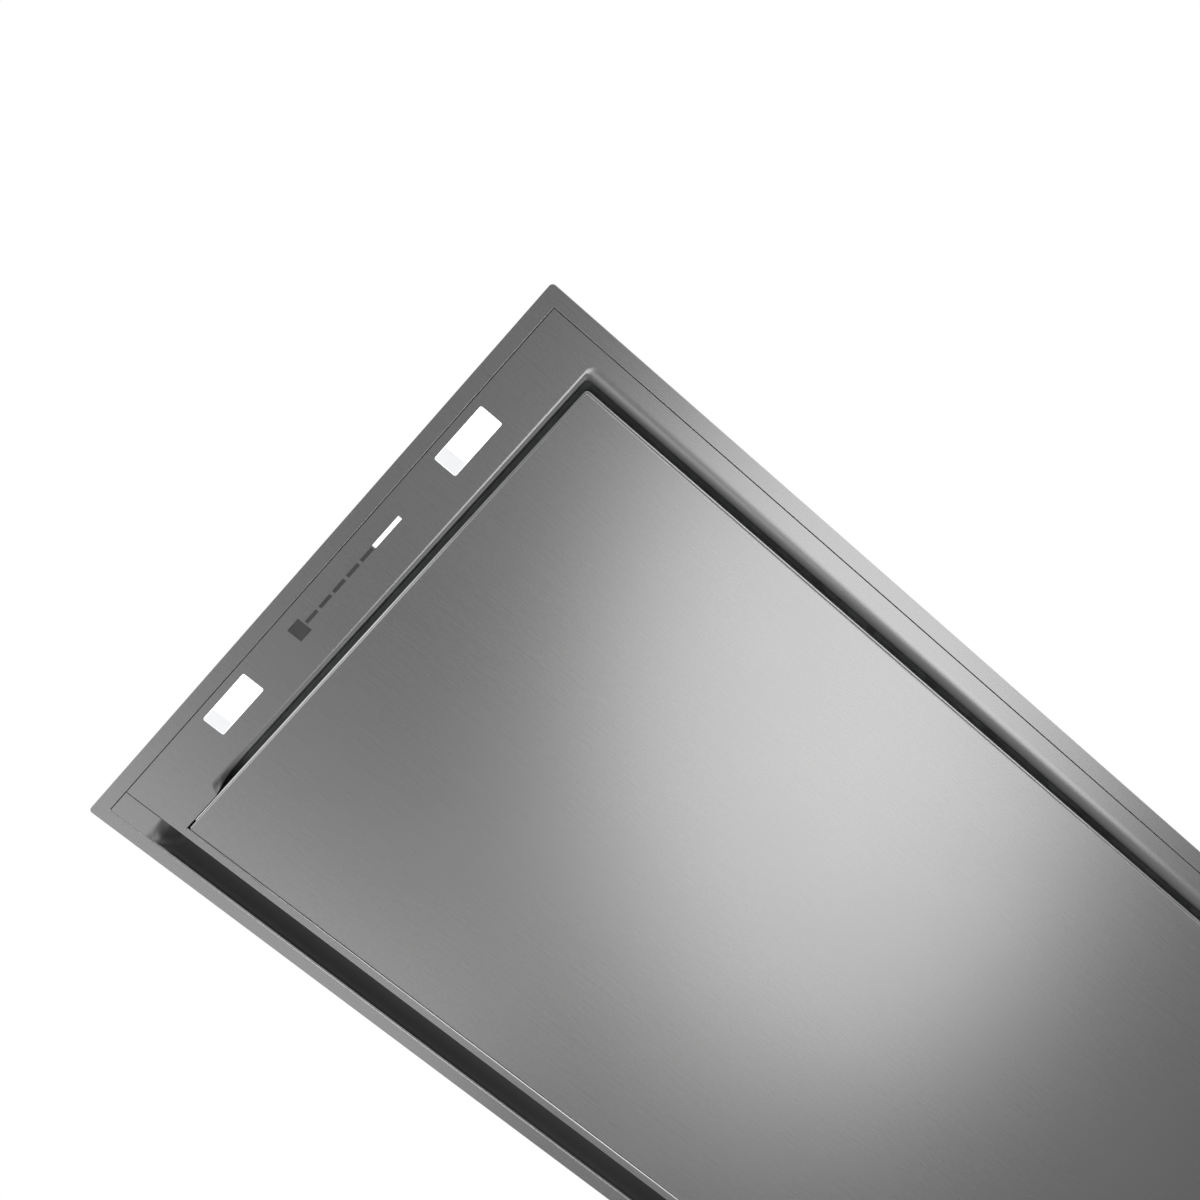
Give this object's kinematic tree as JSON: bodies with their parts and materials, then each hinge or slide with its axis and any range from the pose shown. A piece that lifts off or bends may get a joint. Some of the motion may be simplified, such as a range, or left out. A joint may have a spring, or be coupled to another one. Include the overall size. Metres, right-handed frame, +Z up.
{
  "type": "ceiling range hood",
  "caption": "Ceiling extractor hood with a flush brushed-steel face, a hinged suction panel, end lamps and a top-mounted blower with a side duct outlet.",
  "frame": {"origin": "centre of the ceiling cut-out, in the plane of the ceiling against which the trim flange rests", "axes": "+Z up out of the room, +X along the length of the face towards the end without controls, +Y towards the hinged long side"},
  "size_m": [1.2, 0.7, 0.294],
  "materials": {
    "face_steel": "fine long grain, satin",
    "sheet_steel": "galvanised sheet",
    "fasteners": "zinc plated",
    "aluminium": "satin",
    "filter_mesh": "layers of expanded mesh",
    "black_plastic": "fine texture",
    "control_dark": "smooth",
    "diffuser": "satin, lit from behind",
    "circuit_board": "lacquered",
    "terminal_white": "moulded",
    "motor_metal": "satin paint",
    "rubber": "matt"
  },
  "bodies": {
    "hood": {"trim_frame": "face_steel", "face_tray": "face_steel", "far_strip": "face_steel", "catch_magnets": "black_plastic", "hinge_brackets": "sheet_steel", "hinge_pins": "fasteners", "filter_carrier": "sheet_steel", "filter_frame_1": "aluminium", "filter_frame_2": "aluminium", "filter_frame_3": "aluminium", "filter_mesh_1": "filter_mesh", "filter_mesh_2": "filter_mesh", "filter_mesh_3": "filter_mesh", "lamp_lenses": "diffuser", "lamp_housings": "aluminium", "lamp_led_boards": "circuit_board", "control_light_bar": "diffuser", "control_marks": "control_dark", "control_key": "control_dark", "control_holder": "black_plastic", "control_board": "circuit_board", "plenum_casing": "sheet_steel", "hanger_brackets": "sheet_steel", "hanger_screws": "fasteners", "plenum_screws": "fasteners", "frame_rivets": "fasteners", "blower_box": "sheet_steel", "blower_box_cover": "sheet_steel", "box_screws": "fasteners", "cover_screws": "fasteners", "blower_scroll": "sheet_steel", "inlet_ring": "sheet_steel", "scroll_buffers": "rubber", "shaft_bearing": "fasteners", "blower_motor": "motor_metal", "motor_bracket": "sheet_steel", "motor_grommets": "rubber", "motor_screws": "fasteners", "outlet_cone": "sheet_steel", "outlet_collar": "black_plastic", "collar_screws": "fasteners", "damper_rod": "fasteners", "electronics_box": "black_plastic", "electronics_cover": "black_plastic", "terminal_block": "terminal_white", "cable_gland": "black_plastic"},
    "panel": {"panel_skin": "face_steel", "panel_stiffeners": "sheet_steel", "panel_hinge_leaves": "sheet_steel", "catch_keepers": "sheet_steel"},
    "latch_1": {"filter_latch_1": "black_plastic"},
    "latch_2": {"filter_latch_2": "black_plastic"},
    "latch_3": {"filter_latch_3": "black_plastic"},
    "wheel": {"blower_wheel": "black_plastic", "motor_shaft": "fasteners"},
    "flap_left": {"damper_flap_left": "aluminium"},
    "flap_right": {"damper_flap_right": "aluminium"}
  },
  "joints": [
    {"name": "panel_hinge", "type": "hinge", "parent": "hood", "child": "panel", "pos_m": [0, 0.2937, 0.002], "axis": [1, 0, 0], "range_deg": [0, 90]},
    {"name": "wheel_spin", "type": "hinge", "parent": "hood", "child": "wheel", "pos_m": [-0.02283, -0.0101, 0.19], "axis": [0, 0, 1], "continuous": true},
    {"name": "flap_left_hinge", "type": "hinge", "parent": "hood", "child": "flap_left", "pos_m": [0.09302, 0.19868, 0.199], "axis": [0, 0, -1], "range_deg": [0, 75], "stiffness_Nm_per_rad": 0.02, "springref_deg": -11.46},
    {"name": "flap_right_hinge", "type": "hinge", "parent": "hood", "child": "flap_right", "pos_m": [0.09302, 0.19868, 0.199], "axis": [0, 0, 1], "range_deg": [0, 75], "stiffness_Nm_per_rad": 0.02, "springref_deg": -11.46},
    {"name": "filter_latch_1_slide", "type": "slide", "parent": "hood", "child": "latch_1", "axis": [0, 1, 0], "range_m": [0, 0.007], "stiffness_N_per_m": 300, "springref_m": -0.002},
    {"name": "filter_latch_2_slide", "type": "slide", "parent": "hood", "child": "latch_2", "axis": [0, 1, 0], "range_m": [0, 0.007], "stiffness_N_per_m": 300, "springref_m": -0.002},
    {"name": "filter_latch_3_slide", "type": "slide", "parent": "hood", "child": "latch_3", "axis": [0, 1, 0], "range_m": [0, 0.007], "stiffness_N_per_m": 300, "springref_m": -0.002}
  ]
}
